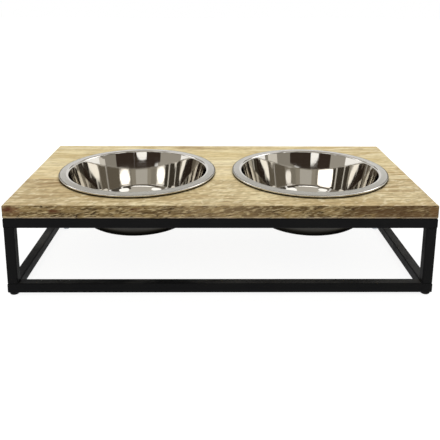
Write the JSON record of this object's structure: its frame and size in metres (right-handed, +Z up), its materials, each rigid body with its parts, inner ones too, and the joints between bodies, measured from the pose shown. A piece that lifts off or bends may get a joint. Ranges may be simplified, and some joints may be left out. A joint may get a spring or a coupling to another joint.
{
  "type": "pet bowl stand",
  "caption": "Low raised feeder for a dog or cat: a wooden top on an open square-tube steel frame, with round lift-out steel bowls set into cut-outs.",
  "frame": {"origin": "on the floor, under the middle of the wooden top", "axes": "+X along the stand's length, +Y from the front edge to the back, +Z up"},
  "size_m": [0.52, 0.274, 0.1215],
  "materials": {
    "mango_wood": "clear matt lacquer, planed top and sawn edges",
    "black_powder_coat": "satin black powder coat on steel tube",
    "stainless_steel": "pressed stainless sheet, polished inside, satin rim",
    "black_rubber": "moulded black rubber",
    "zinc_plated_steel": "bright zinc plate"
  },
  "bodies": {
    "stand": {"front_board": "mango_wood", "middle_board_left": "mango_wood", "middle_board_centre": "mango_wood", "middle_board_right": "mango_wood", "rear_board": "mango_wood", "upper_rail_front": "black_powder_coat", "upper_rail_right": "black_powder_coat", "upper_rail_rear": "black_powder_coat", "upper_rail_left": "black_powder_coat", "lower_rail_front": "black_powder_coat", "lower_rail_right": "black_powder_coat", "lower_rail_rear": "black_powder_coat", "lower_rail_left": "black_powder_coat", "post_front_left": "black_powder_coat", "post_front_right": "black_powder_coat", "post_rear_right": "black_powder_coat", "post_rear_left": "black_powder_coat", "foot_front_left": "black_rubber", "foot_front_right": "black_rubber", "foot_rear_right": "black_rubber", "foot_rear_left": "black_rubber", "top_screws": "zinc_plated_steel"},
    "left_bowl": {"bowl_left": "stainless_steel"},
    "right_bowl": {"bowl_right": "stainless_steel"}
  },
  "joints": [
    {"name": "left_bowl_lift", "type": "slide", "parent": "stand", "child": "left_bowl", "axis": [0, 0, 1], "range_m": [0, 0.1]},
    {"name": "right_bowl_lift", "type": "slide", "parent": "stand", "child": "right_bowl", "axis": [0, 0, 1], "range_m": [0, 0.1]}
  ]
}
